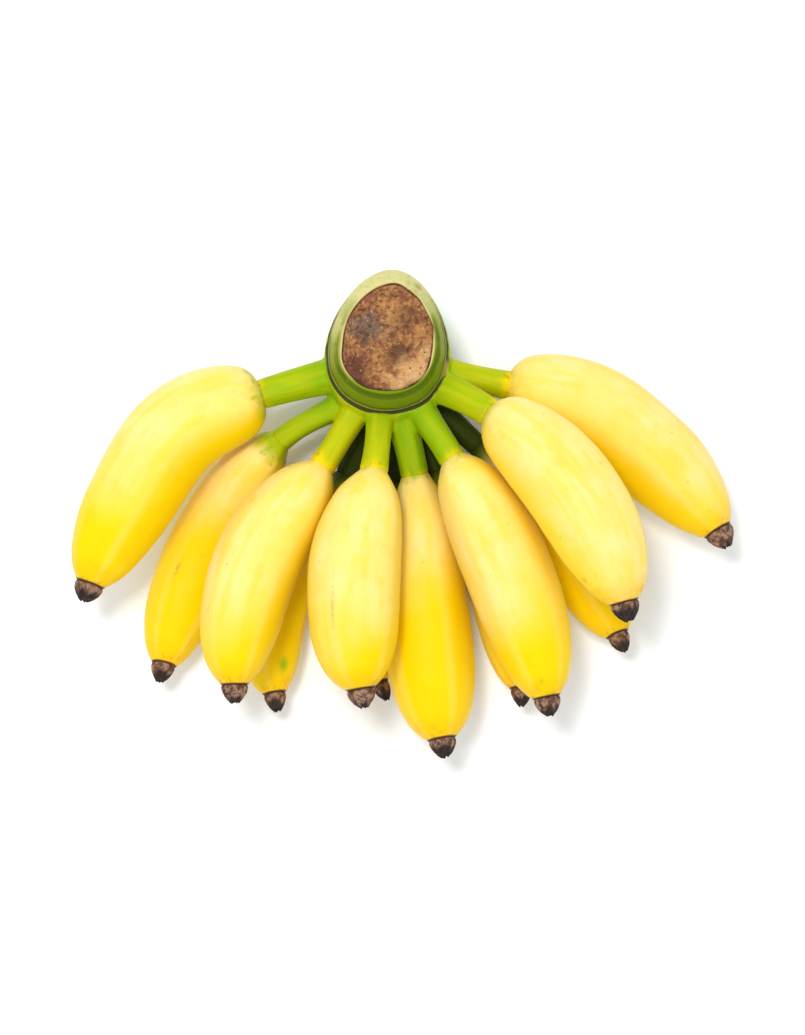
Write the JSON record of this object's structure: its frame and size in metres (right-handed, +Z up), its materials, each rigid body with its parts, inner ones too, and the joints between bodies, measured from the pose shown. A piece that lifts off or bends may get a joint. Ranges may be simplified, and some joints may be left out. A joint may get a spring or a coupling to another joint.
{
  "type": "hand of bananas",
  "caption": "Hand of small stout ripe bananas fanned out from one green crown, lying on its lower fingers with the dried brown cut of the stump facing up.",
  "frame": {"origin": "on the table under the crown, at the middle of the small flat spot that the crown rests on", "axes": "+Z up out of the cut stump, -Y the way the middle fingers point, +X to the right when seen from above with the crown at the far side"},
  "size_m": [0.2652, 0.1952, 0.0865],
  "materials": {
    "yellow_peel": "ripe yellow peel, softly satin",
    "green_stalk": "fresh green stalk and crown, satin",
    "dried_cut": "dried corky cut, matt",
    "dried_tip": "shrivelled dry flower end, matt"
  },
  "bodies": {
    "root": {"crown": "green_stalk", "cut_face": "dried_cut", "upper_finger_1": "yellow_peel", "upper_finger_2": "yellow_peel", "upper_finger_3": "yellow_peel", "upper_finger_4": "yellow_peel", "upper_finger_5": "yellow_peel", "upper_finger_6": "yellow_peel", "upper_finger_7": "yellow_peel", "upper_finger_8": "yellow_peel", "lower_finger_1": "yellow_peel", "lower_finger_2": "yellow_peel", "lower_finger_3": "yellow_peel", "lower_finger_4": "yellow_peel", "upper_tip_1": "dried_tip", "upper_tip_2": "dried_tip", "upper_tip_3": "dried_tip", "upper_tip_4": "dried_tip", "upper_tip_5": "dried_tip", "upper_tip_6": "dried_tip", "upper_tip_7": "dried_tip", "upper_tip_8": "dried_tip", "lower_tip_1": "dried_tip", "lower_tip_2": "dried_tip", "lower_tip_3": "dried_tip", "lower_tip_4": "dried_tip"}
  },
  "joints": []
}
